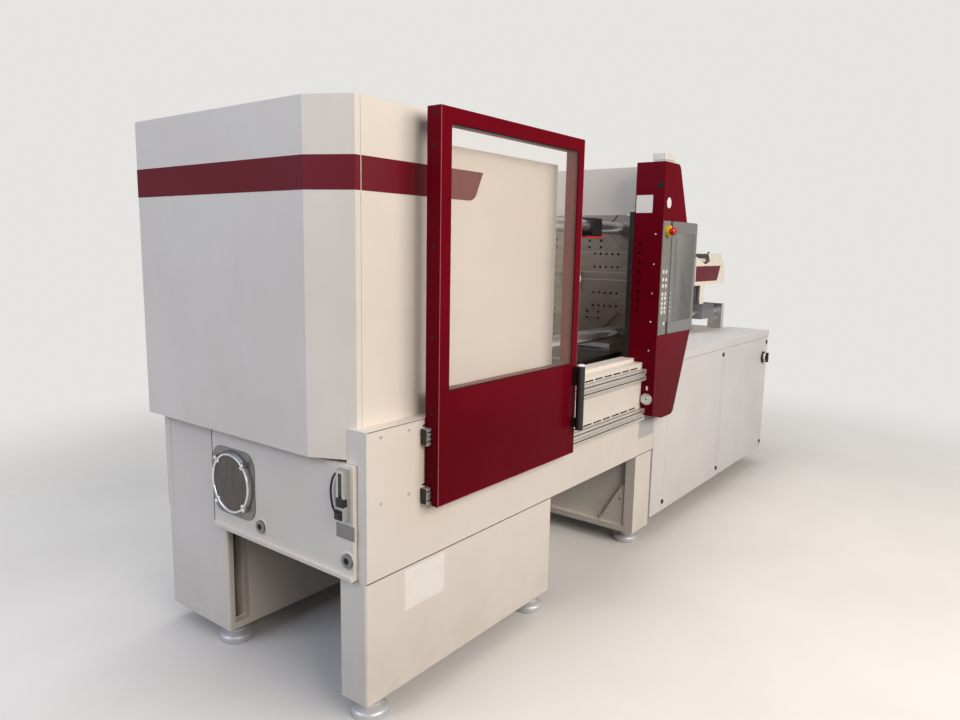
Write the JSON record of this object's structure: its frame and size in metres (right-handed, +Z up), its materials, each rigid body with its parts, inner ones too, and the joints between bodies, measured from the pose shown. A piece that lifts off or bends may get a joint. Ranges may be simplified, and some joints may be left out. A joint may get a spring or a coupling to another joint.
{
  "type": "injection moulding machine",
  "caption": "Horizontal injection moulding machine with sheet-metal clamp hood, sliding guard doors, control column, screw injection unit and low electrical cabinet.",
  "frame": {"origin": "on the floor under the middle of the machine's outer box", "axes": "+X from the clamp end to the injection end, +Y from the operator side to the rear, +Z up"},
  "size_m": [4.0968, 1.394, 2.018],
  "materials": {
    "white_paint": "satin powder coat",
    "ivory_paint": "satin powder coat",
    "maroon_paint": "satin powder coat",
    "maroon_film": "satin film",
    "frame_paint": "satin paint on welded steel",
    "machine_grey": "satin machine enamel",
    "zinc_steel": "zinc plated",
    "stainless": "brushed stainless",
    "rail_aluminium": "drawn, anodised",
    "platen_iron": "milled and oiled",
    "iron_paint": "painted casting",
    "chrome": "ground and hard chromed",
    "way_steel": "ground and oiled",
    "polycarbonate": "clear polycarbonate sheet",
    "black_plastic": "moulded",
    "grey_plastic": "textured film over a moulded bezel",
    "display_glass": "anti-glare touch panel",
    "yellow_plastic": "moulded",
    "red_plastic": "moulded",
    "lamp_plastic": "opal moulding",
    "light_plastic": "moulded",
    "seal_rubber": "extruded",
    "cable_rubber": "smooth jacket",
    "nitrided": "nitrided steel"
  },
  "bodies": {
    "base": {"hood_end_cap": "white_paint", "hood_body": "white_paint", "colour_band": "maroon_film", "mould_guards": "white_paint", "side_panels": "ivory_paint", "leg_boxes": "ivory_paint", "pedestals": "ivory_paint", "levelling_feet": "zinc_steel", "bed_beams": "frame_paint", "cross_members": "frame_paint", "oil_tank": "frame_paint", "tank_panel": "ivory_paint", "tank_fittings": "stainless", "level_gauge": "rail_aluminium", "gauge_cable": "cable_rubber", "bar_clamp": "black_plastic", "pump_set": "machine_grey", "mould_ledge": "ivory_paint", "guard_rails": "rail_aluminium", "cylinder_platen": "iron_paint", "tie_bars": "chrome", "clamp_ways": "way_steel", "fixed_platen": "platen_iron", "platen_cover": "ivory_paint", "control_column": "maroon_paint", "column_seal": "seal_rubber", "operating_panel": "grey_plastic", "touch_display": "display_glass", "stop_base": "yellow_plastic", "signal_lamp": "lamp_plastic", "column_socket": "light_plastic", "injection_deck": "ivory_paint", "carriage_bars": "chrome", "cabinet_body": "white_paint", "cabinet_lid": "white_paint"},
    "front_door": {"door_frame_front": "maroon_paint", "door_window_front": "polycarbonate", "door_grip_front": "black_plastic", "door_carriers_front": "black_plastic"},
    "rear_door": {"door_frame_rear": "maroon_paint", "door_window_rear": "polycarbonate", "door_grip_rear": "black_plastic", "door_carriers_rear": "black_plastic"},
    "clamp": {"moving_platen": "platen_iron", "clamp_ram": "chrome"},
    "ejector_body": {"ejector": "way_steel"},
    "carriage": {"injection_carriage": "machine_grey", "barrel": "nitrided", "injection_cover": "white_paint"},
    "piston_body": {"injection_piston": "way_steel"},
    "screw_body": {"screw": "nitrided"},
    "left_door": {"cabinet_door_left": "white_paint"},
    "right_door": {"cabinet_door_right": "white_paint"},
    "latch_1": {"latch_left_top": "black_plastic"},
    "latch_2": {"latch_left_low": "black_plastic"},
    "latch_3": {"latch_right_top": "black_plastic"},
    "latch_4": {"latch_right_low": "black_plastic"},
    "latch_5": {"latch_strip": "black_plastic"},
    "switch_handle": {"main_switch": "black_plastic"},
    "stop_button": {"stop_head": "red_plastic"}
  },
  "joints": [
    {"name": "front_door_slide", "type": "slide", "parent": "base", "child": "front_door", "axis": [1, 0, 0], "range_m": [0, 0.755]},
    {"name": "rear_door_slide", "type": "slide", "parent": "base", "child": "rear_door", "axis": [-1, 0, 0], "range_m": [0, 0.755]},
    {"name": "clamp_slide", "type": "slide", "parent": "base", "child": "clamp", "axis": [1, 0, 0], "range_m": [0, 0.5]},
    {"name": "ejector_slide", "type": "slide", "parent": "clamp", "child": "ejector_body", "axis": [1, 0, 0], "range_m": [0, 0.1]},
    {"name": "carriage_slide", "type": "slide", "parent": "base", "child": "carriage", "axis": [-1, 0, 0], "range_m": [0, 0.22]},
    {"name": "screw_stroke", "type": "slide", "parent": "carriage", "child": "piston_body", "axis": [1, 0, 0], "range_m": [0, 0.14]},
    {"name": "screw_turn", "type": "hinge", "parent": "piston_body", "child": "screw_body", "pos_m": [1.6734, -0.053, 1.39], "axis": [1, 0, 0], "continuous": true},
    {"name": "left_door_hinge", "type": "hinge", "parent": "base", "child": "left_door", "pos_m": [0.2874, -0.576, 0.525], "axis": [0, 0, -1], "range_deg": [0, 90]},
    {"name": "right_door_hinge", "type": "hinge", "parent": "base", "child": "right_door", "pos_m": [1.1444, -0.576, 0.525], "axis": [0, 0, -1], "range_deg": [0, 110]},
    {"name": "main_switch_turn", "type": "hinge", "parent": "right_door", "child": "switch_handle", "pos_m": [1.9454, -0.576, 0.8], "axis": [0, -1, 0], "range_deg": [0, 90]},
    {"name": "stop_push", "type": "slide", "parent": "base", "child": "stop_button", "axis": [0, 1, 0], "range_m": [0, 0.004], "stiffness_N_per_m": 3000},
    {"name": "latch_left_top_turn", "type": "hinge", "parent": "left_door", "child": "latch_1", "pos_m": [1.1124, -0.576, 0.905], "axis": [0, 1, 0], "range_deg": [-90, 0]},
    {"name": "latch_left_low_turn", "type": "hinge", "parent": "left_door", "child": "latch_2", "pos_m": [1.1124, -0.576, 0.16], "axis": [0, 1, 0], "range_deg": [-90, 0]},
    {"name": "latch_right_top_turn", "type": "hinge", "parent": "right_door", "child": "latch_3", "pos_m": [2.0114, -0.576, 0.905], "axis": [0, 1, 0], "range_deg": [-90, 0]},
    {"name": "latch_right_low_turn", "type": "hinge", "parent": "right_door", "child": "latch_4", "pos_m": [2.0114, -0.576, 0.16], "axis": [0, 1, 0], "range_deg": [-90, 0]},
    {"name": "latch_strip_turn", "type": "hinge", "parent": "base", "child": "latch_5", "pos_m": [0.2734, -0.576, 0.16], "axis": [0, 1, 0], "range_deg": [-90, 0]}
  ]
}
